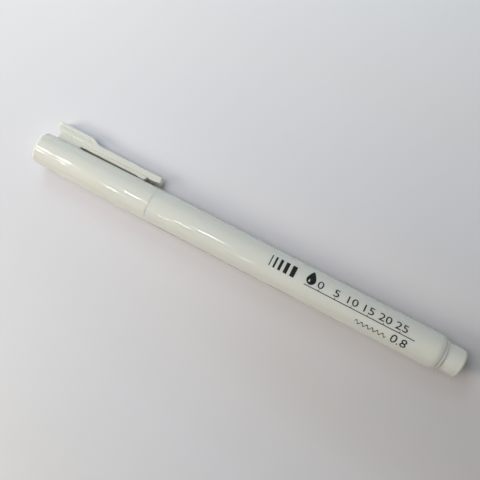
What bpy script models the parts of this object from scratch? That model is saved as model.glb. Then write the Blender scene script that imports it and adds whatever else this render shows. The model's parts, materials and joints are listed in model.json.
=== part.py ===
"""Capped felt tip marker, lying on its side: barrel, tail plug, nib assembly, ink reservoir, cap and pocket clip.

The pen lies along X with the tail towards +X, and rests on the barrel and on the clip's head.
Lengths named here are in millimetres and become metres when points are made.
Stations along the pen are measured from the cap's closed end, and radii from the pen's axis.
"""

from math import acos, atan2, cos, hypot, pi, radians, sin

import bmesh
import bpy

MM = 0.001

# Overall sizes
PEN_LENGTH = 138.0
BARREL_RADIUS = 5.25
CAP_END_RADIUS = 4.9
CAP_LENGTH = 38.4
BARREL_END = 131.3
GAP = 0.3

# Walls of the two shells
BARREL_BORE = 4.5
CAP_MOUTH_BORE = 4.5
CAP_INNER_BORE = 4.05
CAP_FLOOR = 1.3
SNAP_HEIGHT = 0.1
SNAP_START = 36.0
SNAP_END = 37.5

# Tail plug
PLUG_RADIUS = BARREL_BORE - GAP
PLUG_START = 122.0
PLUG_LEDGE = 126.3
PLUG_FLOOR = 1.4
FLANGE_END = 132.3
FLANGE_RADIUS = 4.65
BEAD_START = 128.0
BEAD_LENGTH = 1.5
BEAD_HEIGHT = 0.15

# Nib assembly
COLLAR_RADIUS = 4.1
COLLAR_START = 26.0
CLICK_START = 33.1
CLICK_LENGTH = 1.5
CLICK_HEIGHT = 0.15
NOSE_START = 14.2
NOSE_RADIUS = 1.9
CONE_RADIUS = 3.3
SECTION_END = 52.0
SLEEVE_RADIUS = 1.05
SLEEVE_START = 11.6
SLEEVE_END = 20.0
NIB_RADIUS = 0.65
NIB_TIP = 10.2
NIB_END = 50.7

# Ink reservoir
CORE_RADIUS = 3.4
WRAP_THICKNESS = 0.15
CORE_START = 46.3
CORE_END = PLUG_LEDGE - GAP

# Inner cap that seals the nib
LINER_RADIUS = CAP_INNER_BORE - GAP
LINER_BORE = 2.6
LINER_START = CAP_FLOOR + GAP
LINER_END = 19.5

# Pocket clip
CLIP_WIDTH = 4.0
CLIP_INNER = 6.3
CLIP_OUTER = 8.2
HEAD_OUTER = 9.7
HEAD_INNER = 6.9
HEAD_START = 1.3
STEM_START = 3.4
STEM_END = 11.0
RAMP_START = 13.0
RAMP_END = 16.0
RIB_WIDTH = 3.2
RIB_INNER = 5.6
RIB_HOLD = 0.6
FOOT_START = 30.2
FOOT_END = 33.4
CLIP_END = 37.8
CLIP_EDGE = 0.25
SEAT_LEVEL = 4.45
HINGE_STATION = 11.3
HINGE_RADIUS = 7.8

# Facets round a turned piece
SHELL_STEPS = 72
INNER_STEPS = 48
SLIM_STEPS = 32

# Seen along the axis, the clip points sideways and down until its head's rounded corner meets the ground.
CORNER_OUT = HEAD_OUTER - CLIP_EDGE
CORNER_SIDE = CLIP_WIDTH / 2 - CLIP_EDGE
CORNER_DROP = acos((CLIP_EDGE - BARREL_RADIUS) / hypot(CORNER_OUT, CORNER_SIDE))
CLIP_ANGLE = CORNER_DROP - atan2(CORNER_SIDE, CORNER_OUT)

# The axis is as high as the barrel's radius, and the origin is midway between barrel and clip.
CLIP_REACH = CORNER_OUT * sin(CLIP_ANGLE) - CORNER_SIDE * cos(CLIP_ANGLE) + CLIP_EDGE
AXIS_Y = (BARREL_RADIUS - CLIP_REACH) / 2
AXIS_Z = BARREL_RADIUS


def clear_scene():
    for leftover in list(bpy.data.objects):
        bpy.data.objects.remove(leftover, do_unlink=True)


def new_collection(name):
    collection = bpy.data.collections.new(name)
    bpy.context.scene.collection.children.link(collection)
    return collection


def plastic(name, colour, roughness, metallic=0.0):
    material = bpy.data.materials.new(name)
    material.use_nodes = True
    shader = material.node_tree.nodes["Principled BSDF"]
    shader.inputs["Base Color"].default_value = (*colour, 1.0)
    shader.inputs["Roughness"].default_value = roughness
    shader.inputs["Metallic"].default_value = metallic
    return material


def rounded_corner(before, corner, after, radius, arc_steps):
    """Points of the arc that replaces one corner of an outline."""
    to_before = (before[0] - corner[0], before[1] - corner[1])
    to_after = (after[0] - corner[0], after[1] - corner[1])
    before_angle = atan2(to_before[1], to_before[0])
    after_angle = atan2(to_after[1], to_after[0])
    opening = (after_angle - before_angle + pi) % (2 * pi) - pi
    reach = radius / sin(abs(opening) / 2)
    middle_angle = before_angle + opening / 2
    centre = (corner[0] + reach * cos(middle_angle), corner[1] + reach * sin(middle_angle))
    sweep = pi - abs(opening)
    turn = -1 if opening > 0 else 1
    first_angle = middle_angle + pi - turn * sweep / 2
    angles = [first_angle + turn * sweep * step / arc_steps for step in range(arc_steps + 1)]
    return [(centre[0] + radius * cos(a), centre[1] + radius * sin(a)) for a in angles]


def outline(corners, arc_steps=4):
    """Outline points from (station, radius from axis) corners; a third number rounds that corner."""
    points = []
    for index, corner in enumerate(corners):
        if len(corner) == 2:
            points.append(corner)
            continue
        before = corners[index - 1]
        after = corners[(index + 1) % len(corners)]
        points += rounded_corner(before, corner, after, corner[2], arc_steps)
    return points


def new_empty(name, parent, location, rotation):
    empty = bpy.data.objects.new(name, None)
    empty.empty_display_size = 5 * MM
    empty.parent = parent
    empty.location = location
    empty.rotation_euler = rotation
    guides.objects.link(empty)
    return empty


def new_object(name, mesh, parent, material, collection):
    piece = bpy.data.objects.new(name, mesh)
    piece.parent = parent
    if material:
        mesh.materials.append(material)
    collection.objects.link(piece)
    return piece


def apply_modifiers(piece):
    """Keeps the piece's evaluated mesh and shades it smooth between its sharp edges."""
    depsgraph = bpy.context.evaluated_depsgraph_get()
    mesh = bpy.data.meshes.new_from_object(piece.evaluated_get(depsgraph))
    mesh.name = piece.name
    piece.modifiers.clear()
    piece.data = mesh
    mesh.shade_smooth()
    mesh.set_sharp_from_angle(angle=radians(32))
    return piece


def turned(name, corners, steps, material):
    """A turned piece about the pen's axis.

    Corners run down the outer side from the tail end. A tube's outline closes on itself,
    and a solid's or a cup's starts and ends on the axis.
    """
    points = outline(corners)
    on_axis = points[0][1] == 0
    vertices = [(radius * MM, 0, (station - PEN_LENGTH / 2) * MM) for station, radius in points]
    edges = [(i, i + 1) for i in range(len(points) - 1)]
    if not on_axis:
        edges.append((len(points) - 1, 0))
    profile = bpy.data.meshes.new(name)
    profile.from_pydata(vertices, edges, [])
    piece = new_object(name, profile, pen_axis, material, marker)
    screw = piece.modifiers.new("Turn", "SCREW")
    screw.steps = steps
    screw.render_steps = steps
    screw.use_merge_vertices = True
    screw.merge_threshold = 0.000001
    return piece


def flat_piece(name, corners, width, hinge, parent, material, collection):
    """A flat outline in the clip's plane, made as thick as the given width, with softened edges.

    The outline's stations and radii are counted from the hinge point of its parent empty.
    """
    curve = bpy.data.curves.new(name, "CURVE")
    curve.dimensions = "2D"
    curve.fill_mode = "BOTH"
    curve.extrude = width / 2 * MM
    points = outline(corners)
    spline = curve.splines.new("POLY")
    spline.points.add(len(points) - 1)
    for point, (station, radius) in zip(spline.points, points):
        point.co = ((station - hinge[0]) * MM, (radius - hinge[1]) * MM, 0, 1)
    spline.use_cyclic_u = True
    sketch = new_object(name + "_outline", curve, parent, None, guides)
    bpy.context.view_layer.update()
    mesh = bpy.data.meshes.new_from_object(sketch.evaluated_get(bpy.context.evaluated_depsgraph_get()))
    bpy.data.objects.remove(sketch, do_unlink=True)
    solid = bmesh.new()
    solid.from_mesh(mesh)
    bmesh.ops.remove_doubles(solid, verts=solid.verts, dist=0.000001)
    bmesh.ops.dissolve_limit(solid, angle_limit=radians(1), verts=solid.verts, edges=solid.edges)
    bmesh.ops.recalc_face_normals(solid, faces=solid.faces)
    solid.to_mesh(mesh)
    solid.free()
    piece = new_object(name, mesh, parent, material, collection)
    bevel = piece.modifiers.new("Soften", "BEVEL")
    bevel.width = CLIP_EDGE * MM
    bevel.segments = 2
    bevel.use_clamp_overlap = False
    bevel.limit_method = "ANGLE"
    bevel.angle_limit = radians(50)
    return piece


def combine(piece, other, operation):
    """Joins another body to a piece, or cuts it out of the piece, and hides that body."""
    other.display_type = "WIRE"
    other.hide_render = True
    step = piece.modifiers.new(other.name, "BOOLEAN")
    step.operation = operation
    step.solver = "EXACT"
    step.object = other


def cap_radius(station):
    """The cap's outside radius, which grows from its closed end to its mouth."""
    return CAP_END_RADIUS + (BARREL_RADIUS - CAP_END_RADIUS) * station / CAP_LENGTH


def make_barrel():
    rim = BARREL_BORE + 0.2
    return turned("barrel", [
        (BARREL_END, BARREL_BORE),
        (BARREL_END, rim),
        (BARREL_END - 0.25, BARREL_RADIUS - 0.12, 0.3),
        (BARREL_END - 1.5, BARREL_RADIUS, 1.2),
        (CAP_LENGTH + GAP, BARREL_RADIUS, 0.12),
        (CAP_LENGTH + GAP, BARREL_BORE),
    ], SHELL_STEPS, white)


def make_tail_plug():
    bead = PLUG_RADIUS + BEAD_HEIGHT
    return turned("tail_plug", [
        (PEN_LENGTH, 0),
        (PEN_LENGTH, PLUG_RADIUS, 0.6),
        (FLANGE_END, PLUG_RADIUS),
        (FLANGE_END, FLANGE_RADIUS, 0.15),
        (BARREL_END + GAP, FLANGE_RADIUS),
        (BARREL_END + GAP, PLUG_RADIUS),
        (BEAD_START + BEAD_LENGTH, PLUG_RADIUS),
        (BEAD_START + BEAD_LENGTH * 2 / 3, bead),
        (BEAD_START + BEAD_LENGTH / 3, bead),
        (BEAD_START, PLUG_RADIUS),
        (PLUG_START, PLUG_RADIUS),
        (PLUG_START, CORE_RADIUS + WRAP_THICKNESS + GAP),
        (PLUG_LEDGE, CORE_RADIUS + WRAP_THICKNESS + GAP),
        (PLUG_LEDGE, CORE_RADIUS - 0.3),
        (PEN_LENGTH - PLUG_FLOOR, CORE_RADIUS - 0.3),
        (PEN_LENGTH - PLUG_FLOOR, 0),
    ], SHELL_STEPS, white)


def make_front_section():
    cup_bore = CORE_RADIUS + WRAP_THICKNESS + GAP
    nib_bore = NIB_RADIUS + GAP
    sleeve_bore = SLEEVE_RADIUS + 0.12
    click = COLLAR_RADIUS + CLICK_HEIGHT
    return turned("front_section", [
        (SECTION_END, cup_bore),
        (SECTION_END, BARREL_BORE - GAP),
        (CAP_LENGTH + GAP, BARREL_BORE - GAP),
        (CAP_LENGTH, COLLAR_RADIUS),
        (CLICK_START + CLICK_LENGTH, COLLAR_RADIUS),
        (CLICK_START + CLICK_LENGTH * 2 / 3, click),
        (CLICK_START + CLICK_LENGTH / 3, click),
        (CLICK_START, COLLAR_RADIUS),
        (COLLAR_START, COLLAR_RADIUS, 0.5),
        (COLLAR_START - 1.6, CONE_RADIUS, 0.8),
        (NOSE_START, NOSE_RADIUS, 0.4),
        (NOSE_START, sleeve_bore),
        (SLEEVE_END + GAP, sleeve_bore),
        (SLEEVE_END + GAP, nib_bore),
        (CORE_START - GAP, nib_bore),
        (CORE_START - GAP, cup_bore),
    ], INNER_STEPS, black)


def make_nib_sleeve():
    wall = 0.25
    return turned("nib_sleeve", [
        (SLEEVE_END, SLEEVE_RADIUS - wall),
        (SLEEVE_END, SLEEVE_RADIUS),
        (SLEEVE_START, SLEEVE_RADIUS, 0.1),
        (SLEEVE_START, SLEEVE_RADIUS - wall),
    ], SLIM_STEPS, steel)


def make_nib():
    return turned("nib", [
        (NIB_END, 0),
        (NIB_END, NIB_RADIUS),
        (NIB_TIP, NIB_RADIUS, 0.3),
        (NIB_TIP, 0),
    ], SLIM_STEPS, ink)


def make_ink_core():
    nib_pocket = NIB_RADIUS + GAP
    return turned("ink_core", [
        (CORE_END, 0),
        (CORE_END, CORE_RADIUS),
        (CORE_START, CORE_RADIUS),
        (CORE_START, nib_pocket),
        (NIB_END + GAP, nib_pocket),
        (NIB_END + GAP, 0),
    ], INNER_STEPS, ink)


def make_core_wrap():
    bore = CORE_RADIUS + 0.06
    return turned("core_wrap", [
        (CORE_END, bore),
        (CORE_END, CORE_RADIUS + WRAP_THICKNESS),
        (CORE_START, CORE_RADIUS + WRAP_THICKNESS),
        (CORE_START, bore),
    ], INNER_STEPS, film)


def make_cap_shell():
    shell = turned("cap_shell", [
        (CAP_FLOOR, 0),
        (CAP_FLOOR, CAP_INNER_BORE - 0.2),
        (LINER_END + 1.0, CAP_INNER_BORE),
        (LINER_END + 2.5, CAP_MOUTH_BORE - SNAP_HEIGHT),
        (SNAP_START, CAP_MOUTH_BORE),
        (SNAP_START + 0.5, CAP_MOUTH_BORE - SNAP_HEIGHT),
        (SNAP_END - 0.5, CAP_MOUTH_BORE - SNAP_HEIGHT),
        (SNAP_END, CAP_MOUTH_BORE),
        (CAP_LENGTH, CAP_MOUTH_BORE),
        (CAP_LENGTH, BARREL_RADIUS, 0.12),
        (0, CAP_END_RADIUS, 0.5),
        (0, 0),
    ], SHELL_STEPS, white)
    seat = bmesh.new()
    bmesh.ops.create_cube(seat, size=1)
    length = STEM_END - STEM_START + 2 * GAP
    bmesh.ops.scale(seat, vec=(length * MM, 3 * MM, 2 * CLIP_WIDTH * MM), verts=seat.verts)
    middle = (STEM_START + STEM_END) / 2 - PEN_LENGTH / 2
    bmesh.ops.translate(seat, vec=(middle * MM, (SEAT_LEVEL + 1.5) * MM, 0), verts=seat.verts)
    mesh = bpy.data.meshes.new("clip_seat")
    seat.to_mesh(mesh)
    seat.free()
    combine(shell, new_object("clip_seat", mesh, clip_plane, None, cutters), "DIFFERENCE")
    return shell


def make_cap_liner():
    lip = LINER_BORE + 0.4
    return turned("cap_liner", [
        (LINER_START + 1.2, 0),
        (LINER_START + 1.2, LINER_BORE, 0.4),
        (NOSE_START, LINER_BORE),
        (LINER_END, lip),
        (LINER_END, LINER_RADIUS, 0.15),
        (LINER_END - 4.0, LINER_RADIUS - 0.1),
        (LINER_START, LINER_RADIUS - 0.2, 0.3),
        (LINER_START, 0),
    ], INNER_STEPS, natural)


def make_clip_head():
    """The clip's wide plate with the narrower stem that joins it to the cap's seat."""
    plane_origin = (PEN_LENGTH / 2, 0)
    head = flat_piece("clip_head", [
        (STEM_END, HEAD_INNER),
        (STEM_END, HEAD_OUTER),
        (HEAD_START, HEAD_OUTER, 0.9),
        (HEAD_START, HEAD_INNER + 0.7, 0.6),
        (STEM_START - 0.9, HEAD_INNER, 0.5),
    ], CLIP_WIDTH, plane_origin, clip_plane, white, marker)
    stem = flat_piece("clip_stem", [
        (STEM_START, SEAT_LEVEL + GAP),
        (STEM_END, SEAT_LEVEL + GAP),
        (STEM_END, HEAD_INNER + RIB_HOLD),
        (STEM_START, HEAD_INNER + RIB_HOLD),
    ], RIB_WIDTH, plane_origin, clip_plane, None, cutters)
    combine(head, stem, "UNION")
    return head


def make_clip_arm():
    """The springing arm: a wide plate that steps down behind the head, and a narrower rib that ends in the foot."""
    foot = cap_radius(FOOT_START) + GAP
    start = STEM_END + GAP
    hinge = (HINGE_STATION, HINGE_RADIUS)
    arm = flat_piece("clip_arm", [
        (start, HEAD_INNER),
        (RAMP_START - 0.8, HEAD_INNER, 1.0),
        (RAMP_END - 1.2, CLIP_INNER, 1.0),
        (FOOT_END, CLIP_INNER),
        (CLIP_END, CLIP_INNER + 0.3, 0.3),
        (CLIP_END, CLIP_OUTER, 0.5),
        (RAMP_END, CLIP_OUTER, 1.5),
        (RAMP_START, HEAD_OUTER, 1.5),
        (start + GAP, HEAD_OUTER),
    ], CLIP_WIDTH, hinge, clip_hinge, white, marker)
    rib = flat_piece("clip_rib", [
        (start + GAP, RIB_INNER),
        (FOOT_START, RIB_INNER),
        (FOOT_START + 0.5, foot),
        (FOOT_END - 0.7, foot, 0.35),
        (FOOT_END, CLIP_INNER),
        (FOOT_END, CLIP_INNER + RIB_HOLD),
        (RAMP_END, CLIP_INNER + RIB_HOLD),
        (RAMP_START, HEAD_INNER + RIB_HOLD),
        (start + GAP, HEAD_INNER + RIB_HOLD),
    ], RIB_WIDTH, hinge, clip_hinge, None, cutters)
    combine(arm, rib, "UNION")
    return arm


clear_scene()
marker = new_collection("felt_tip_marker")
cutters = new_collection("cutters")
guides = new_collection("guides")

white = plastic("white_plastic", (0.86, 0.86, 0.82), 0.22)
black = plastic("black_plastic", (0.03, 0.03, 0.035), 0.35)
natural = plastic("natural_plastic", (0.80, 0.81, 0.80), 0.4)
film = plastic("clear_film", (0.75, 0.78, 0.80), 0.15)
ink = plastic("ink_fibre", (0.015, 0.015, 0.02), 0.85)
steel = plastic("steel", (0.60, 0.60, 0.61), 0.28, 1.0)

# The pen's axis runs along the empty's own Z; the clip's plane holds the axis and points out through the clip.
pen_axis = new_empty("pen_axis", None, (0, AXIS_Y * MM, AXIS_Z * MM), (0, radians(90), 0))
clip_plane = new_empty("clip_plane", None, (0, AXIS_Y * MM, AXIS_Z * MM), (pi / 2 - CLIP_ANGLE, 0, 0))
hinge_place = ((HINGE_STATION - PEN_LENGTH / 2) * MM, HINGE_RADIUS * MM, 0)
clip_hinge = new_empty("clip_hinge", clip_plane, hinge_place, (0, 0, 0))
bpy.context.view_layer.update()

pieces = [
    make_barrel(), make_tail_plug(), make_front_section(), make_nib_sleeve(), make_nib(),
    make_ink_core(), make_core_wrap(), make_cap_shell(), make_cap_liner(),
    make_clip_head(), make_clip_arm(),
]
bpy.context.view_layer.update()
for piece in pieces:
    apply_modifiers(piece)
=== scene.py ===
import json
from math import atan2, cos, hypot, pi, radians, sin, sqrt

import bmesh
import bpy
from mathutils import Matrix, Vector


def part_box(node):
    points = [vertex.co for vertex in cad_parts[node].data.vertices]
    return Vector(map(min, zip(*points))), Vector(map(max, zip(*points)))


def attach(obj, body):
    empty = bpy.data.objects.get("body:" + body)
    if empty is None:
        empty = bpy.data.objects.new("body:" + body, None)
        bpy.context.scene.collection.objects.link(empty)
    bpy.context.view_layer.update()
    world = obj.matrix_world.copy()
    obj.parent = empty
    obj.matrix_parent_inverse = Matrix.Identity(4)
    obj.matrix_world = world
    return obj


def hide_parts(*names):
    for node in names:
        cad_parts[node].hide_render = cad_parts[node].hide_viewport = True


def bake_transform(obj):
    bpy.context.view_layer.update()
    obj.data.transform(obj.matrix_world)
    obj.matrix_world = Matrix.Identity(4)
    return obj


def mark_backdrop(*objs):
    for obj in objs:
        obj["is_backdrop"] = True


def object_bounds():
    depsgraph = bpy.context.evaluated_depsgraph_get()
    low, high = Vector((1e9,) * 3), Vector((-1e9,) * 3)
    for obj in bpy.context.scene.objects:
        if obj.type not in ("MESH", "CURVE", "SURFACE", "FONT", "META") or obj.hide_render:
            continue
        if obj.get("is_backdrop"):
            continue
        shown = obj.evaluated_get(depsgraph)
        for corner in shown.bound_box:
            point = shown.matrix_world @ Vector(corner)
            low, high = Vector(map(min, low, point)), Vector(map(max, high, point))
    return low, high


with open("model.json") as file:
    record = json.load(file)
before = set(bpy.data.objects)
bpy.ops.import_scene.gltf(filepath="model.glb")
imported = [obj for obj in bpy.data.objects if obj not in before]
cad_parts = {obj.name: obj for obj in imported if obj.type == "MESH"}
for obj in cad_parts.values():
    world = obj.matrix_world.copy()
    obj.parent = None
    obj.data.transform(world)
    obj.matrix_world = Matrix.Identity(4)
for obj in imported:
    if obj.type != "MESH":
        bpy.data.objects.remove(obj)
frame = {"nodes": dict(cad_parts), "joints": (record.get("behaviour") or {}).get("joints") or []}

# Looks of a capped felt tip marker that lies on a pale surface.
# Pen space: a station is the distance along the pen from the cap's closed end and a radius is taken from the
# pen's axis, both in millimetres. A bearing is an angle round the axis, from straight up towards the clip.

MM = 0.001
CAD_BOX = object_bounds()
BARREL_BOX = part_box("barrel")
CAP_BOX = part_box("cap_shell")
PLUG_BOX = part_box("tail_plug")
AXIS = (BARREL_BOX[0] + BARREL_BOX[1]) / 2
PEN_START = CAP_BOX[0].x
BARREL_RADIUS = (BARREL_BOX[1].z - BARREL_BOX[0].z) / 2 / MM
FLEX = next(joint for joint in frame["joints"] if joint["name"] == "clip_flex")
CLIP_BEARING = atan2(FLEX["axis"][2], -FLEX["axis"][1])


def station_of(x):
    return (x - PEN_START) / MM


# Overall sizes
CAP_LENGTH = station_of(CAP_BOX[1].x)
BARREL_START = station_of(BARREL_BOX[0].x)
BARREL_END = station_of(BARREL_BOX[1].x)
PEN_LENGTH = station_of(PLUG_BOX[1].x)
CAP_END_RADIUS = 4.9
PLUG_RADIUS = 4.2
FLANGE_END = 132.3
SHOULDER_END = BARREL_END + 0.2
BORE = BARREL_RADIUS - 0.75
SLEEVE_RADIUS = 1.05
NIB_RADIUS = 0.65

# The middle of the seam between cap and barrel, how wide each seam is and how round its edges are
CAP_SEAM = CAP_LENGTH + 0.15
SEAM = 0.015
SEAM_ROUND = 0.025

# How far from both ends of a long side an extra point keeps its smooth shading straight
SUPPORT = 0.2

# Print: arcs run round the barrel from its top, and away from the clip they are negative
PRINT_THICKNESS = 0.012
PRINT_LIFT = 0.003
PRINT_STRIP = 0.2
SKIN_RADIUS = BARREL_RADIUS - PRINT_LIFT - PRINT_THICKNESS
SAMPLES_START = 77.43
SAMPLES_ARCS = (0.82, 4.25)
DROP_MIDDLE = 90.15
RULE_START = 88.71
RULE_LENGTH = 34.1
RULE_ARCS = (0.62, 0.84)
SCALE_START = 93.21
SCALE_STEP = 5.0
SCALE_COUNT = 6
TICK_WIDTH = 0.2
TICK_ARCS = (0.83, 1.2)
STROKE_START = 105.9
WIDTH_MIDDLE = 119.1
# Line-width samples: where each bar starts and how thick it is
SAMPLE_BARS = ((0.0, 0.3), (1.25, 0.55), (2.75, 0.8), (4.5, 1.1), (6.55, 1.35))
# Groups of small dashes low on the barrel: the station where each starts and how many there are
DASH_GROUPS = ((40.1, 22), (51.1, 6), (56.1, 9), (61.1, 9), (66.9, 8), (71.8, 10), (79.2, 18))
DASH_PITCH = 0.47
DASH_LENGTH = DASH_PITCH * 0.7
DASH_ARCS = (-7.3, -6.3)

# Clip, as drawn in its own plane: stations and radii
CLIP_HALF_WIDTH = 2.0
HEAD_START = 1.3
HEAD_OUTER = 9.7
HEAD_LEDGE = 6.9
ARM_OUTER = 8.2
ARM_INNER = 6.3
LEDGE_START = 12.2
LEDGE_END = 14.8
STEM_START = 3.4
STEM_END = 11.0
STEM_BASE = 4.3
RIB_INNER = 5.42
RIB_INSET = 0.4
FOOT_START = 30.2
FOOT_END = 33.4
FOOT_INNER = 5.22
TIP_LEDGE = 6.08
CLIP_END = 37.8
END_LEAN = 0.02
# Down the side of the clip's head: the radius of each point and how far it lies inside the full width
HEAD_PROFILE = ((8.90, 0.0), (8.66, 0.04), (8.54, 0.18), (8.40, 0.2), (8.27, 0.06), (8.12, 0.0), (7.40, 0.0))
# Between sections of the clip: the usual distance and the least
SECTION_STEP = 0.35
SECTION_LEAST = 0.008

# Camera, in metres: where it stands, the point that it looks at and which way is up in its picture
CAMERA_PLACE = Vector((0.014773, 0.028445, 0.179004))
CAMERA_AIM = Vector((-0.002357, 0.000395, 0.00525))
CAMERA_UP = Vector((-0.45639, 0.88439, -0.09778))
CAMERA_LENS = 45.43

# Soft lights: name, place and side in metres, power in watts and colour
SOFT_LIGHTS = (
    ("key", (-0.346, -0.161, 0.239), 0.17, 0.93, (1.0, 0.98, 0.86)),
    ("top", (-0.12, 0.03, 0.3), 0.2, 0.42, (0.98, 0.92, 0.96)),
    ("fill", (-0.140, 0.205, 0.215), 0.13, 0.25, (0.66, 0.9, 0.98)),
    ("side", (0.36, 0.0, 0.08), 0.12, 0.07, (1.0, 0.9, 0.82)),
)
# Streaks of light on the plastic: first and last station and bearing in degrees, then the lamp's width in
# millimetres and its brightness
STREAKS = (
    (0.3, 5.1, 6.0, 70, 19), (0.2, 3.4, -4.4, 66, 17),
    (9.1, 12.9, 5.2, 70, 19), (9.1, 11.4, -4.4, 60, 17),
    (24.9, 29.1, -5.8, 52, 17), (31.0, 35.9, 6.8, 56, 20),
    (43.5, 46.4, -11.4, 36, 12), (48.6, 52.6, -3.2, 42, 12),
    (55.0, 62.7, 5.8, 46, 13), (69.9, 72.1, -9.0, 32, 10),
)
STREAK_COLOUR = (1.0, 1.0, 0.97)
LAMP_REACH = 450.0

# Studio: the background, how bright it is as a light and to the camera, and the floor, in metres
WORLD_COLOUR = (0.86, 0.97, 1.0, 1.0)
WORLD_LIGHT = 0.1
WORLD_SEEN = 0.55
FLOOR_RADIUS = 0.52
FLOOR_GAP = 0.00002


# ---------------------------------------------------------------- geometry helpers

def place(station, radius, bearing=0.0):
    """The point in the frame for a place in pen space."""
    return Vector((
        PEN_START + station * MM,
        AXIS.y + radius * MM * sin(bearing),
        AXIS.z + radius * MM * cos(bearing),
    ))


def rounded_corner(before, corner, after, radius, arc_steps):
    """Points of the arc that replaces one corner of an outline."""
    before_angle = atan2(before[1] - corner[1], before[0] - corner[0])
    after_angle = atan2(after[1] - corner[1], after[0] - corner[0])
    opening = (after_angle - before_angle + pi) % (2 * pi) - pi
    reach = radius / sin(abs(opening) / 2)
    middle = before_angle + opening / 2
    centre = (corner[0] + reach * cos(middle), corner[1] + reach * sin(middle))
    sweep = pi - abs(opening)
    turn = -1 if opening > 0 else 1
    first = middle + pi - turn * sweep / 2
    angles = [first + turn * sweep * step / arc_steps for step in range(arc_steps + 1)]
    return [(centre[0] + radius * cos(a), centre[1] + radius * sin(a)) for a in angles]


def outline(corners, arc_steps=8):
    """Outline points from (station, radius) corners; a third number rounds that corner."""
    points = []
    for index, corner in enumerate(corners):
        if len(corner) == 2:
            points.append(corner)
            continue
        after = corners[(index + 1) % len(corners)]
        points += rounded_corner(corners[index - 1], corner, after, corner[2], arc_steps)
    return points


def new_piece(name, mesh, material):
    """A visible piece in the frame, with the given material in its mesh's slot."""
    mesh.materials.append(material)
    piece = bpy.data.objects.new(name, mesh)
    bpy.context.scene.collection.objects.link(piece)
    return piece


def finish_mesh(mesh, sharp_angle=30.0, merge=0.0):
    """Points every face outward and shades the mesh smooth between its sharp edges."""
    work = bmesh.new()
    work.from_mesh(mesh)
    if merge:
        bmesh.ops.remove_doubles(work, verts=work.verts, dist=merge)
    bmesh.ops.recalc_face_normals(work, faces=work.faces)
    work.to_mesh(mesh)
    work.free()
    mesh.shade_smooth()
    mesh.set_sharp_from_angle(angle=radians(sharp_angle))


def supported(points):
    """The outline with an extra point close to both ends of each long side."""
    kept = [points[0]]
    for before, after in zip(points, points[1:]):
        length = hypot(after[0] - before[0], after[1] - before[1])
        if length > 4 * SUPPORT:
            for share in (SUPPORT / length, 1 - SUPPORT / length):
                kept.append(tuple(a + (b - a) * share for a, b in zip(before, after)))
        kept.append(after)
    return kept


def lathe(name, corners, steps=160, arc_steps=8):
    """A mesh turned about the pen's axis; an outline that starts off the axis closes on itself."""
    points = supported(outline(corners, arc_steps))
    rings = []
    vertices = []
    for station, radius in points:
        if radius == 0:
            rings.append([len(vertices)] * steps)
            vertices.append(place(station, 0))
            continue
        rings.append(range(len(vertices), len(vertices) + steps))
        vertices += [place(station, radius, 2 * pi * step / steps) for step in range(steps)]
    pairs = list(zip(rings, rings[1:]))
    if points[0][1] > 0:
        pairs.append((rings[-1], rings[0]))
    faces = []
    for ring, following in pairs:
        for step in range(steps):
            after = (step + 1) % steps
            face = list(dict.fromkeys([ring[step], ring[after], following[after], following[step]]))
            if len(face) > 2:
                faces.append(face)
    mesh = bpy.data.meshes.new(name)
    mesh.from_pydata(vertices, [], faces)
    finish_mesh(mesh)
    return mesh


def interpolate(points, station):
    """The radius at a station along an edge given as points in order of station."""
    for (start, low), (end, high) in zip(points, points[1:]):
        if station <= end:
            share = (station - start) / (end - start) if end > start else 1.0
            return low + (high - low) * max(share, 0.0)
    return points[-1][1]


def smooth_step(value, start, end):
    """Rises gently from 0 at the start to 1 at the end."""
    share = min(max((value - start) / (end - start), 0.0), 1.0)
    return share * share * (3 - 2 * share)


def loft(name, sections):
    """A closed mesh through sections that all have the same number of points."""
    count = len(sections[0])
    vertices = [point for section in sections for point in section]
    faces = []
    for index in range(len(sections) - 1):
        base = index * count
        for corner in range(count):
            after = (corner + 1) % count
            faces.append([base + corner, base + after, base + count + after, base + count + corner])
    faces.append(list(range(count)))
    faces.append(list(range(len(vertices) - count, len(vertices))))
    mesh = bpy.data.meshes.new(name)
    mesh.from_pydata(vertices, [], faces)
    return mesh


# ---------------------------------------------------------------- materials

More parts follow.
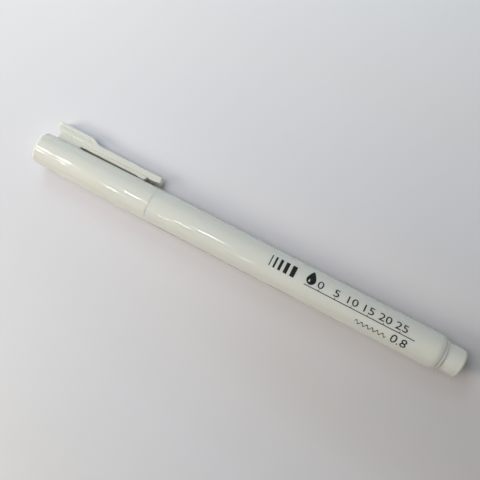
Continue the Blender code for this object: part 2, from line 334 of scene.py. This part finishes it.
class Shader:
    """A Principled material whose textures are laid out in the object's own metres."""

    def __init__(self, name, **settings):
        self.material = bpy.data.materials.new(name)
        self.material.use_nodes = True
        self.tree = self.material.node_tree
        self.surface = self.tree.nodes["Principled BSDF"]
        for socket, value in settings.items():
            self.surface.inputs[socket.replace("_", " ")].default_value = value
        self.place = self.tree.nodes.new("ShaderNodeTexCoord").outputs["Object"]
        self.height = None

    def mapped(self, scale, offset=(0.0, 0.0, 0.0)):
        """The object's coordinates, scaled along each axis and then moved."""
        mapping = self.tree.nodes.new("ShaderNodeMapping")
        mapping.inputs["Location"].default_value = offset
        mapping.inputs["Scale"].default_value = scale
        self.tree.links.new(self.place, mapping.inputs["Vector"])
        return mapping.outputs["Vector"]

    def noise(self, scale, detail=2.0, stretch=None, roughness=0.5):
        node = self.tree.nodes.new("ShaderNodeTexNoise")
        node.inputs["Scale"].default_value = scale
        node.inputs["Detail"].default_value = detail
        node.inputs["Roughness"].default_value = roughness
        self.tree.links.new(self.mapped(stretch) if stretch else self.place, node.inputs["Vector"])
        return node.outputs["Fac"]

    def spots(self, scale):
        node = self.tree.nodes.new("ShaderNodeTexVoronoi")
        node.inputs["Scale"].default_value = scale
        self.tree.links.new(self.place, node.inputs["Vector"])
        return node.outputs["Distance"]

    def dip(self, centre, reach):
        """A soft patch: 1 at its centre, falling evenly to 0 at its reach along X and along Y."""
        offset = (-centre[0] / reach[0], -centre[1] / reach[1], 0.0)
        node = self.tree.nodes.new("ShaderNodeTexGradient")
        node.gradient_type = "SPHERICAL"
        self.tree.links.new(self.mapped((1 / reach[0], 1 / reach[1], 0.0), offset), node.inputs["Vector"])
        return node.outputs["Fac"]

    def ramp(self, source, stops):
        """Colours along a 0 to 1 value: stops are (position, colour or grey level)."""
        node = self.tree.nodes.new("ShaderNodeValToRGB")
        elements = node.color_ramp.elements
        while len(elements) < len(stops):
            elements.new(0.5)
        for element, (position, colour) in zip(elements, stops):
            element.position = position
            rgb = colour if isinstance(colour, tuple) else (colour, colour, colour)
            element.color = (*rgb, 1.0)
        self.tree.links.new(source, node.inputs["Fac"])
        return node.outputs["Color"]

    def mix(self, share, first, second, blend="MIX"):
        """Two colours blended by a share; each of the three is a value or another node's output."""
        node = self.tree.nodes.new("ShaderNodeMix")
        node.data_type = "RGBA"
        node.blend_type = blend
        for socket, value in ((node.inputs[0], share), (node.inputs[6], first), (node.inputs[7], second)):
            if isinstance(value, bpy.types.NodeSocket):
                self.tree.links.new(value, socket)
            elif isinstance(value, tuple):
                socket.default_value = (*value, 1.0)
            else:
                socket.default_value = value
        return node.outputs[2]

    def drive(self, socket, source):
        self.tree.links.new(source, self.surface.inputs[socket])

    def bump(self, source, strength, distance):
        """Adds a layer of relief on top of the ones added before it."""
        node = self.tree.nodes.new("ShaderNodeBump")
        node.inputs["Strength"].default_value = strength
        node.inputs["Distance"].default_value = distance
        self.tree.links.new(source, node.inputs["Height"])
        if self.height is not None:
            self.tree.links.new(self.height, node.inputs["Normal"])
        self.height = node.outputs["Normal"]
        self.tree.links.new(self.height, self.surface.inputs["Normal"])


def glossy_white():
    """Injection-moulded white: a milky, glossy plastic with fine scuffs and a mould's faint waviness."""
    shader = Shader("glossy_white", IOR=1.59, Subsurface_Weight=0.7, Subsurface_Radius=(1.0, 0.95, 0.85),
                    Subsurface_Scale=0.0009)
    tone = (0.84, 0.827, 0.757)
    warm = (tone[0], tone[1] * 0.985, tone[2] * 0.95)
    base = shader.mix(shader.noise(55.0, 3.0), tone, warm)
    specks = shader.ramp(shader.spots(520.0), [(0.0, 0.0), (0.035, 1.0)])
    shader.drive("Base Color", shader.mix(specks, tuple(0.93 * channel for channel in warm), base))
    scuffs = shader.noise(900.0, 4.0, stretch=(0.12, 1.0, 1.0), roughness=0.65)
    shader.drive("Roughness", shader.ramp(scuffs, [(0.35, 0.06), (0.62, 0.08), (0.78, 0.16)]))
    shader.bump(shader.noise(140.0, 1.0, stretch=(0.35, 1.0, 1.0)), 0.3, 0.00002)
    shader.bump(shader.noise(2600.0, 2.0), 0.15, 0.000002)
    return shader.material


def satin_black():
    """Black grip plastic with the fine grain of a spark-eroded mould."""
    shader = Shader("satin_black", IOR=1.49)
    shader.drive("Base Color", shader.ramp(shader.noise(300.0, 3.0), [(0.3, 0.018), (0.7, 0.032)]))
    shader.drive("Roughness", shader.ramp(shader.noise(1500.0, 3.0), [(0.3, 0.28), (0.7, 0.45)]))
    shader.bump(shader.noise(5200.0, 3.0), 0.5, 0.00001)
    return shader.material


def milky_plastic():
    """Unpigmented polypropylene: waxy and slightly see-through."""
    shader = Shader("milky_plastic", IOR=1.5, Subsurface_Weight=0.5, Subsurface_Radius=(1.0, 1.0, 0.95),
                    Subsurface_Scale=0.0012)
    clouds = shader.noise(180.0, 3.0)
    shader.drive("Base Color", shader.ramp(clouds, [(0.3, (0.74, 0.75, 0.74)), (0.7, (0.8, 0.8, 0.78))]))
    shader.drive("Roughness", shader.ramp(shader.noise(1200.0, 3.0), [(0.3, 0.32), (0.7, 0.46)]))
    shader.bump(shader.noise(900.0, 2.0), 0.2, 0.00001)
    return shader.material


def drawn_steel():
    """Stainless tube with drawing lines along its length."""
    shader = Shader("drawn_steel", Metallic=1.0, Anisotropic=0.4)
    lines = shader.noise(9000.0, 3.0, stretch=(0.02, 1.0, 1.0))
    clouds = shader.noise(500.0, 2.0)
    shader.drive("Base Color", shader.ramp(clouds, [(0.3, (0.55, 0.55, 0.56)), (0.7, (0.66, 0.66, 0.66))]))
    shader.drive("Roughness", shader.ramp(lines, [(0.3, 0.18), (0.7, 0.34)]))
    shader.bump(lines, 0.3, 0.000003)
    return shader.material


def inked_fibre(name, scale):
    """Bonded fibres soaked in black ink: dull strands along the pen with a few drier, greyer ones."""
    shader = Shader(name, Sheen_Weight=0.25, Sheen_Roughness=0.5, Specular_IOR_Level=0.35)
    strands = shader.noise(scale, 4.0, stretch=(0.06, 1.0, 1.0), roughness=0.7)
    shader.drive("Base Color", shader.ramp(strands, [(0.35, 0.008), (0.6, 0.02), (0.8, 0.07)]))
    shader.drive("Roughness", shader.ramp(strands, [(0.3, 0.7), (0.7, 0.95)]))
    shader.bump(strands, 0.9, 0.00004)
    return shader.material


def wrap_film():
    """Thin clear film over the ink core, with wrinkles along it and ink showing through."""
    shader = Shader("wrap_film", IOR=1.5, Coat_Weight=0.5, Coat_Roughness=0.05)
    stains = shader.noise(160.0, 4.0, stretch=(0.4, 1.0, 1.0))
    inky = shader.ramp(stains, [(0.35, (0.03, 0.03, 0.035)), (0.75, (0.16, 0.17, 0.19))])
    shader.drive("Base Color", inky)
    shader.drive("Roughness", shader.ramp(shader.noise(700.0, 2.0), [(0.3, 0.1), (0.7, 0.22)]))
    shader.bump(shader.noise(420.0, 3.0, stretch=(0.15, 1.0, 1.0)), 0.5, 0.00004)
    return shader.material


def printed_black():
    """Pad-printed ink: near black, a little glossy, with thin patches."""
    shader = Shader("printed_black", IOR=1.45)
    patches = shader.noise(2500.0, 3.0)
    shader.drive("Base Color", shader.ramp(patches, [(0.3, 0.012), (0.72, 0.03), (0.82, 0.09)]))
    shader.drive("Roughness", shader.ramp(shader.noise(1800.0, 2.0), [(0.3, 0.3), (0.7, 0.5)]))
    shader.bump(shader.noise(4000.0, 2.0), 0.2, 0.000003)
    return shader.material


def pale_sheet():
    """The pale surface: very slightly mottled, with painted shade that makes it darker along the pen and
    darkest off its tail.
    """
    shader = Shader("pale_sheet", IOR=1.4)
    tone = shader.ramp(shader.noise(9.0, 4.0), [(0.3, (0.91, 0.895, 0.915)), (0.7, (0.93, 0.915, 0.935))])
    # Painted shade: the floor's colour is darkened in a band along the pen's line and most in a patch off
    # its tail, where less light falls.
    painted_shade_band = shader.ramp(shader.dip((0.0, 0.0), (9.0, 0.125)), [
        (0.0, 1.0), (0.45, 0.98), (0.8, 0.95), (1.0, (0.94, 0.94, 0.95)),
    ])
    painted_shade_patch = shader.ramp(shader.dip((0.07, -0.02), (0.333, 0.111)), [
        (0.0, 1.0), (0.25, (0.941, 0.936, 0.927)), (0.55, (0.90, 0.896, 0.905)),
        (0.75, (0.883, 0.861, 0.844)), (0.85, (0.829, 0.798, 0.764)), (1.0, (0.783, 0.758, 0.73)),
    ])
    tone_with_painted_shade = shader.mix(1.0, tone, painted_shade_band, "MULTIPLY")
    shader.drive("Base Color", shader.mix(1.0, tone_with_painted_shade, painted_shade_patch, "MULTIPLY"))
    shader.drive("Roughness", shader.ramp(shader.noise(60.0, 3.0), [(0.3, 0.62), (0.7, 0.8)]))
    shader.bump(shader.noise(14.0, 3.0, roughness=0.45), 0.25, 0.002)
    return shader.material


# ---------------------------------------------------------------- shells

def make_barrel(white):
    """The barrel: a straight tube whose rear end rounds in towards the tail plug's flange."""
    mesh = lathe("barrel_skin", [
        (SHOULDER_END, 4.3),
        (SHOULDER_END, 4.8, 0.25),
        (SHOULDER_END - 1.3, SKIN_RADIUS, 4.0),
        (CAP_SEAM + SEAM / 2, SKIN_RADIUS, SEAM_ROUND),
        (CAP_SEAM + SEAM / 2, BORE),
        (BARREL_END - 7.0, BORE),
        (BARREL_END - 6.0, 4.3),
    ], steps=192)
    piece = new_piece("barrel_skin", mesh, white)
    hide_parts("barrel")
    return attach(piece, "barrel")


def make_tail_plug(white):
    """The tail plug: a flange that closes the barrel, and a short round stopper with a bevelled rim."""
    rim = PEN_LENGTH
    dish = 0.12
    start, ledge = 123.0, 126.3
    stem_bore, cup_bore = 3.85, 3.1
    mesh = lathe("tail_plug_skin", [
        (rim - dish, 0),
        (rim - dish, 1.6, 0.8),
        (rim, 2.6, 0.8),
        (rim, 3.75, 0.25),
        (rim - 0.6, PLUG_RADIUS, 0.35),
        (FLANGE_END + 0.05, PLUG_RADIUS, 0.05),
        (FLANGE_END, 4.6, 0.2),
        (SHOULDER_END + SEAM, 4.72, 0.06),
        (SHOULDER_END + SEAM, PLUG_RADIUS),
        (start, PLUG_RADIUS),
        (start, stem_bore),
        (ledge, stem_bore),
        (ledge, cup_bore),
        (rim - 1.5, cup_bore, 0.3),
        (rim - 1.5, 0),
    ], steps=160)
    piece = new_piece("tail_plug_skin", mesh, white)
    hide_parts("tail_plug")
    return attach(piece, "barrel")


def make_cap(white):
    """The cap: a tapering shell with a softened closed end, a thin mouth and a snap ring inside."""
    floor = 1.3
    mouth = CAP_SEAM - SEAM / 2
    ring = BORE - 0.1
    mesh = lathe("cap_skin", [
        (floor, 0),
        (floor, 3.85, 0.3),
        (20.5, 4.05),
        (22.0, ring),
        (36.0, BORE),
        (36.4, ring, 0.15),
        (37.0, ring, 0.15),
        (37.5, BORE),
        (mouth, BORE),
        (mouth, BARREL_RADIUS, SEAM_ROUND),
        (0.0, CAP_END_RADIUS, 0.5),
        (0.0, 0),
    ], steps=192)
    piece = new_piece("cap_skin", mesh, white)
    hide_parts("cap_shell")
    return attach(piece, "cap")


# ---------------------------------------------------------------- clip

def clip_edges():
    """The clip's outer side, its plate's ledge and its inner side, as edges in order of station."""
    near = HEAD_START + END_LEAN
    far = CLIP_END - END_LEAN
    upper = outline([
        (HEAD_START, 8.5), (near, HEAD_OUTER, 0.9), (12.9, HEAD_OUTER, 2.0), (16.0, ARM_OUTER, 1.5),
        (far, ARM_OUTER - 0.05, 0.5), (CLIP_END, 7.3),
    ])
    ledge = outline([
        (HEAD_START, 8.3), (near, 7.5, 0.5), (2.6, HEAD_LEDGE, 0.6),
        (LEDGE_START, HEAD_LEDGE, 1.2), (LEDGE_END, ARM_INNER, 1.2), (FOOT_END + 0.3, ARM_INNER, 0.3),
        (FOOT_END + 0.9, TIP_LEDGE, 0.4), (far, 6.4, 0.3), (CLIP_END, 7.2),
    ])
    inner = [point for point in ledge if point[0] < STEM_START - 0.02]
    inner += [(STEM_START - 0.01, HEAD_LEDGE)]
    inner += outline([
        (STEM_START, STEM_BASE), (STEM_END - 0.02, STEM_BASE), (STEM_END, RIB_INNER),
        (FOOT_START, RIB_INNER, 0.3), (FOOT_START + 0.5, FOOT_INNER, 0.3),
        (FOOT_END - 0.6, FOOT_INNER, 0.35), (FOOT_END, ARM_INNER),
    ], arc_steps=5)
    inner += [point for point in ledge if point[0] > FOOT_END + 0.02]
    return upper, ledge, inner


def clip_width(station):
    """Half the clip's width, which rounds off at both of its ends."""
    width = CLIP_HALF_WIDTH - 0.1 * smooth_step(station, 20.0, CLIP_END)
    for depth, corner in ((station - HEAD_START, 0.9), (CLIP_END - station, 0.5)):
        if depth < corner:
            width -= corner * (1 - sqrt(max(1 - (1 - depth / corner) ** 2, 0.0)))
    return width


def quarter(steps):
    """Sine and cosine of angles from nought to a right angle."""
    return [(sin(pi / 2 * step / steps), cos(pi / 2 * step / steps)) for step in range(steps + 1)]


def clip_section(station, outer, ledge, inner):
    """The clip's T-shaped section: a wide plate, beaded along the head, on a narrower stem or rib."""
    head = 1 - smooth_step(station, LEDGE_START, LEDGE_END)
    width = clip_width(station)
    thickness = outer - ledge
    top_round = min(0.3 + 0.25 * head, 0.3 * thickness, 0.8 * width)
    ledge_round = min(0.14, 0.15 * thickness)
    inset = min(RIB_INSET, 0.4 * width)
    low_round = min(0.12, 0.5 * max(ledge - inner, 0.0))
    high = outer - top_round
    low = ledge + ledge_round
    half = [(outer, 0.0)]
    half += [(outer - top_round * (1 - c), width - top_round * (1 - s)) for s, c in quarter(6)]
    count = len(HEAD_PROFILE) + 1
    for number, (level, depth) in enumerate(HEAD_PROFILE, start=1):
        even = high + (low - high) * number / count
        held = min(max(level, low + 0.01 * (count - number)), high - 0.01 * number)
        half.append((even + (held - even) * head, width - depth * head))
    half += [(ledge + ledge_round * (1 - s), width - ledge_round * (1 - c)) for s, c in quarter(4)]
    half.append((ledge, width - inset))
    half += [(inner + low_round * (1 - s), width - inset - low_round * (1 - c)) for s, c in quarter(3)]
    half.append((inner, 0.0))
    full = half + [(radius, -side) for radius, side in reversed(half[1:-1])]
    outward = Vector((0, sin(CLIP_BEARING), cos(CLIP_BEARING)))
    sideways = Vector((0, -cos(CLIP_BEARING), sin(CLIP_BEARING)))
    base = place(station, 0)
    return [base + outward * radius * MM + sideways * side * MM for radius, side in full]


def make_clip(white):
    """The pocket clip as one moulding."""
    edges = clip_edges()
    stations = {round(station, 3) for edge in edges for station, _ in edge}
    first = HEAD_START + 0.2
    steps = int((CLIP_END - first) / SECTION_STEP)
    stations |= {round(first + SECTION_STEP * step, 3) for step in range(steps + 1)}
    kept = []
    for station in sorted(stations):
        if not kept or station - kept[-1] > SECTION_LEAST:
            kept.append(station)
    sections = [clip_section(s, *(interpolate(edge, s) for edge in edges)) for s in kept]
    mesh = loft("pocket_clip", sections)
    finish_mesh(mesh, 35.0, merge=0.000002)
    piece = new_piece("pocket_clip", mesh, white)
    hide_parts("clip_head", "clip_arm")
    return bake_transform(piece)


# ---------------------------------------------------------------- nib assembly and inner cap

def make_front_section(black):
    """The grip section: a collar with rings, a shoulder and a nose cone that holds the sleeve."""
    collar = 4.1
    groove = collar - 0.12
    bead = collar + 0.14
    channel, sleeve_seat, core_seat = 0.95, 1.12, 3.85
    rings = []
    for ring in range(6):
        station = 31.5 - ring * 0.8
        rings += [(station, collar), (station - 0.2, groove)]
        rings += [(station - 0.4, groove), (station - 0.6, collar)]
    mesh = lathe("front_section_skin", [
        (52.0, core_seat), (52.0, 4.2), (BARREL_START, 4.2), (CAP_LENGTH, collar),
        (34.6, collar), (34.2, bead, 0.2), (33.6, bead, 0.2), (33.2, collar),
        *rings,
        (26.0, collar, 0.5), (24.4, 3.3, 0.8), (14.2, 1.9, 0.4), (14.2, sleeve_seat),
        (20.3, sleeve_seat), (20.3, channel), (46.0, channel), (46.0, core_seat),
    ], steps=96, arc_steps=6)
    piece = new_piece("front_section_skin", mesh, black)
    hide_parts("front_section")
    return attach(piece, "barrel")


def make_sleeve(steel):
    """The steel sleeve: a thin tube with a rolled mouth."""
    mesh = lathe("nib_sleeve_skin", [
        (20.0, 0.8), (20.0, SLEEVE_RADIUS), (12.4, SLEEVE_RADIUS, 0.5),
        (11.6, 0.92, 0.08), (11.6, 0.74, 0.06), (12.3, 0.8),
    ], steps=64, arc_steps=5)
    piece = new_piece("nib_sleeve_skin", mesh, steel)
    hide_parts("nib_sleeve")
    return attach(piece, "barrel")


def make_nib(fibre):
    """The fibre nib: a round rod with a rounded, slightly tapered tip."""
    mesh = lathe("nib_skin", [
        (50.7, 0), (50.7, NIB_RADIUS), (11.4, NIB_RADIUS), (10.2, 0.58, 0.4), (10.2, 0),
    ], steps=64)
    piece = new_piece("nib_skin", mesh, fibre)
    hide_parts("nib")
    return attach(piece, "barrel")


def make_liner(milky):
    """The inner cap: a thin cup with a flared lip that seals on the nose cone."""
    mesh = lathe("cap_liner_skin", [
        (2.8, 0), (2.8, 2.6, 0.4), (14.2, 2.6), (19.3, 3.0), (19.5, 3.2, 0.1), (19.5, 3.75, 0.15),
        (18.9, 3.75), (18.6, 3.6), (15.5, 3.6), (15.2, 3.7), (1.6, 3.55, 0.3), (1.6, 0),
    ], steps=96, arc_steps=5)
    piece = new_piece("cap_liner_skin", mesh, milky)
    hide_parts("cap_liner")
    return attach(piece, "inner_cap")


# ---------------------------------------------------------------- print

def wrap_on_barrel(name, flat, material, station):
    """Wraps a flat solid round the barrel: x runs from the station, y is an arc and z a height."""
    work = bmesh.new()
    work.from_mesh(flat)
    bmesh.ops.remove_doubles(work, verts=work.verts, dist=0.0001)
    arcs = [vertex.co.y for vertex in work.verts]
    cut = min(arcs) + PRINT_STRIP
    while cut < max(arcs):
        geometry = work.verts[:] + work.edges[:] + work.faces[:]
        bmesh.ops.bisect_plane(work, geom=geometry, dist=0.00001, plane_co=(0, cut, 0), plane_no=(0, 1, 0))
        cut += PRINT_STRIP
    for vertex in work.verts:
        x, arc, height = vertex.co
        vertex.co = place(station + x, SKIN_RADIUS + PRINT_LIFT + height, arc / BARREL_RADIUS)
    mesh = bpy.data.meshes.new(name)
    work.to_mesh(mesh)
    work.free()
    bpy.data.meshes.remove(flat)
    finish_mesh(mesh)
    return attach(new_piece(name, mesh, material), "barrel")


def flat_from_curve(curve):
    """The mesh of a flat, filled curve given the print's thickness."""
    curve.extrude = PRINT_THICKNESS / 2
    sketch = bpy.data.objects.new("sketch", curve)
    bpy.context.scene.collection.objects.link(sketch)
    bpy.context.view_layer.update()
    mesh = bpy.data.meshes.new_from_object(sketch.evaluated_get(bpy.context.evaluated_depsgraph_get()))
    bpy.data.objects.remove(sketch, do_unlink=True)
    mesh.transform(Matrix.Translation((0, 0, PRINT_THICKNESS / 2)))
    return mesh


def flat_outlines(outlines):
    """Filled flat shapes from closed outlines in millimetres; an outline inside another is a hole."""
    curve = bpy.data.curves.new("outlines", "CURVE")
    curve.dimensions = "2D"
    curve.fill_mode = "BOTH"
    for points in outlines:
        spline = curve.splines.new("POLY")
        spline.points.add(len(points) - 1)
        for point, (x, y) in zip(spline.points, points):
            point.co = (x, y, 0, 1)
        spline.use_cyclic_u = True
    return flat_from_curve(curve)


def flat_number(digits, bottom, height, stretch):
    """A plain number of the given height, stretched along the barrel and centred on its station."""
    curve = bpy.data.curves.new("digits", "FONT")
    curve.body = digits
    curve.resolution_u = 3
    mesh = flat_from_curve(curve)
    xs = [vertex.co.x for vertex in mesh.vertices]
    ys = [vertex.co.y for vertex in mesh.vertices]
    scale = height / (max(ys) - min(ys))
    for vertex in mesh.vertices:
        vertex.co.x = (vertex.co.x - (min(xs) + max(xs)) / 2) * scale * stretch
        vertex.co.y = bottom + (vertex.co.y - min(ys)) * scale
    return mesh


def rectangle(left, right, bottom, top):
    return [(left, bottom), (right, bottom), (right, top), (left, top)]


def drop_outline(middle, bottom, width, height, steps=36):
    """An ink drop: a round lower part that runs up to a point."""
    radius = width / 2
    points = []
    for step in range(steps):
        angle = 2 * pi * step / steps
        lift = max(cos(angle), 0.0) ** 3
        side = sin(angle) * (1 - 0.35 * lift)
        level = radius * (1 + cos(angle)) + (height - width) * lift
        points.append((middle + radius * side, bottom + level))
    return points


def wave_outline(length, middle, swing, thickness, waves, steps=72):
    """A pen stroke that swings about a line, as a closed outline."""
    upper = []
    lower = []
    for step in range(steps + 1):
        x = length * step / steps
        y = middle + swing * sin(2 * pi * waves * step / steps)
        upper.append((x, y + thickness / 2))
        lower.append((x, y - thickness / 2))
    return lower + upper[::-1]


def make_samples(ink):
    """Line-width samples: upright bars of rising thickness."""
    bars = [rectangle(start, start + width, *SAMPLES_ARCS) for start, width in SAMPLE_BARS]
    wrap_on_barrel("print_samples", flat_outlines(bars), ink, SAMPLES_START)


def make_drop(ink):
    """An ink drop with a small glint left out of it."""
    drop = drop_outline(middle=0, bottom=1.25, width=2.8, height=4.4)
    glint = drop_outline(middle=-0.45, bottom=1.85, width=0.6, height=1.0)
    wrap_on_barrel("print_drop", flat_outlines([drop, glint]), ink, DROP_MIDDLE)


def make_scale(ink):
    """A rule with ticks, and a number over each of them."""
    steps = [SCALE_STEP * number for number in range(SCALE_COUNT)]
    rule = rectangle(0, RULE_LENGTH, *RULE_ARCS)
    first = SCALE_START - RULE_START - TICK_WIDTH / 2
    ticks = [rectangle(first + step, first + TICK_WIDTH + step, *TICK_ARCS) for step in steps]
    wrap_on_barrel("print_rule", flat_outlines([rule] + ticks), ink, RULE_START)
    for number, step in enumerate(steps):
        digits = flat_number(str(round(step)), bottom=1.5, height=2.2, stretch=1.3)
        wrap_on_barrel(f"print_scale_{number}", digits, ink, SCALE_START + step)


def make_dashes(ink):
    """Small dashes in groups, where such a pen has its small print."""
    first = DASH_GROUPS[0][0]
    dashes = []
    for start, count in DASH_GROUPS:
        left = [start - first + DASH_PITCH * number for number in range(count)]
        dashes += [rectangle(x, x + DASH_LENGTH, *DASH_ARCS) for x in left]
    wrap_on_barrel("print_dashes", flat_outlines(dashes), ink, first)


def make_print(ink):
    """Generic marking on the barrel, with a pen stroke and a plain number for the tip's width."""
    make_samples(ink)
    make_drop(ink)
    make_scale(ink)
    width = flat_number("0.8", bottom=-2.78, height=2.6, stretch=1.1)
    wrap_on_barrel("print_width", width, ink, WIDTH_MIDDLE)
    stroke = wave_outline(length=9.6, middle=-2.0, swing=0.5, thickness=0.34, waves=6)
    wrap_on_barrel("print_stroke", flat_outlines([stroke]), ink, STROKE_START)
    make_dashes(ink)


# ---------------------------------------------------------------- surroundings

def make_floor():
    """A round pale sheet under the pen, as wide as the soft lights reach."""
    mesh = bpy.data.meshes.new("floor")
    work = bmesh.new()
    bmesh.ops.create_circle(work, cap_ends=True, segments=128, radius=FLOOR_RADIUS)
    work.to_mesh(mesh)
    work.free()
    mesh.materials.append(pale_sheet())
    floor = bpy.data.objects.new("floor", mesh)
    floor.location.z = CAD_BOX[0][2] - FLOOR_GAP
    bpy.context.scene.collection.objects.link(floor)
    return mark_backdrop(floor)


def aimed(position, first, second, ahead):
    """The placement of a lamp or camera that looks ahead; first and second are its X and Y directions."""
    turn = Matrix((first, second, -ahead)).transposed()
    return Matrix.Translation(position) @ turn.to_4x4()


def add_area_light(name, position, target, size, power, colour):
    """A rectangular lamp that faces a target, with its first side in the plane of the pen's axis."""
    light = bpy.data.lights.new(name, "AREA")
    light.shape = "RECTANGLE"
    light.size, light.size_y = size
    light.energy = power
    light.color = colour
    lamp = bpy.data.objects.new(name, light)
    ahead = (Vector(target) - Vector(position)).normalized()
    across = ahead.cross(Vector((1, 0, 0))).normalized()
    lamp.matrix_world = aimed(position, across.cross(ahead), across, ahead)
    bpy.context.scene.collection.objects.link(lamp)
    return lamp


def add_world():
    """A plain background, which the camera sees brighter than it lights the pen."""
    world = bpy.data.worlds.new("studio")
    world.use_nodes = True
    background = world.node_tree.nodes["Background"]
    background.inputs["Color"].default_value = WORLD_COLOUR
    rays = world.node_tree.nodes.new("ShaderNodeLightPath")
    strength = world.node_tree.nodes.new("ShaderNodeMapRange")
    strength.inputs["To Min"].default_value = WORLD_LIGHT
    strength.inputs["To Max"].default_value = WORLD_SEEN
    world.node_tree.links.new(rays.outputs["Is Camera Ray"], strength.inputs["Value"])
    world.node_tree.links.new(strength.outputs["Result"], background.inputs["Strength"])
    bpy.context.scene.world = world


def add_soft_lights():
    """The lights that shade the pen and the floor, and leave no mirror image on the plastic."""
    for name, position, side, power, colour in SOFT_LIGHTS:
        lamp = add_area_light(name, position, (0, 0, 0), (side, side), power, colour)
        lamp.visible_glossy = False


def add_streak_lamps():
    """Narrow lamps, each placed where a mirror on the pen's skin would show it to the camera as a streak."""
    beside = CAMERA_PLACE.y - AXIS.y
    above = CAMERA_PLACE.z - AXIS.z
    camera_bearing = atan2(beside, above)
    camera_station = station_of(CAMERA_PLACE.x)
    stretch = LAMP_REACH / (hypot(beside, above) / MM - BARREL_RADIUS)
    cap_lean = 2 * (BARREL_RADIUS - CAP_END_RADIUS) / CAP_LENGTH * LAMP_REACH
    for number, (start, end, degrees, width, glow) in enumerate(STREAKS):
        lean = cap_lean if end < CAP_LENGTH else 0.0
        first, last = (station - (camera_station - station) * stretch - lean for station in (start, end))
        position = place((first + last) / 2, LAMP_REACH, 2 * radians(degrees) - camera_bearing)
        target = place((start + end) / 2, 0)
        size = ((last - first) * MM, width * MM)
        power = glow * pi * size[0] * size[1]
        lamp = add_area_light(f"streak_{number}", position, target, size, power, STREAK_COLOUR)
        lamp.visible_diffuse = False
        lamp.visible_transmission = False


def add_camera():
    camera = bpy.data.cameras.new("camera")
    camera.lens = CAMERA_LENS
    camera.clip_start = 0.005
    view = bpy.data.objects.new("camera", camera)
    forward = (CAMERA_AIM - CAMERA_PLACE).normalized()
    right = forward.cross(CAMERA_UP).normalized()
    view.matrix_world = aimed(CAMERA_PLACE, right, right.cross(forward), forward)
    bpy.context.scene.collection.objects.link(view)
    bpy.context.scene.camera = view


# ---------------------------------------------------------------- the model

white = glossy_white()
black = satin_black()
milky = milky_plastic()
steel = drawn_steel()
fibre = inked_fibre("inked_nib", 6000.0)
core_fibre = inked_fibre("inked_core", 2200.0)
film = wrap_film()
printed = printed_black()

frame["nodes"]["ink_core"].material_slots[0].material = core_fibre
frame["nodes"]["core_wrap"].material_slots[0].material = film

make_barrel(white)
make_tail_plug(white)
make_cap(white)
make_clip(white)
make_front_section(black)
make_sleeve(steel)
make_nib(fibre)
make_liner(milky)
make_print(printed)

make_floor()
add_world()
add_soft_lights()
add_streak_lamps()
add_camera()
bpy.context.scene.view_settings.view_transform = "Standard"
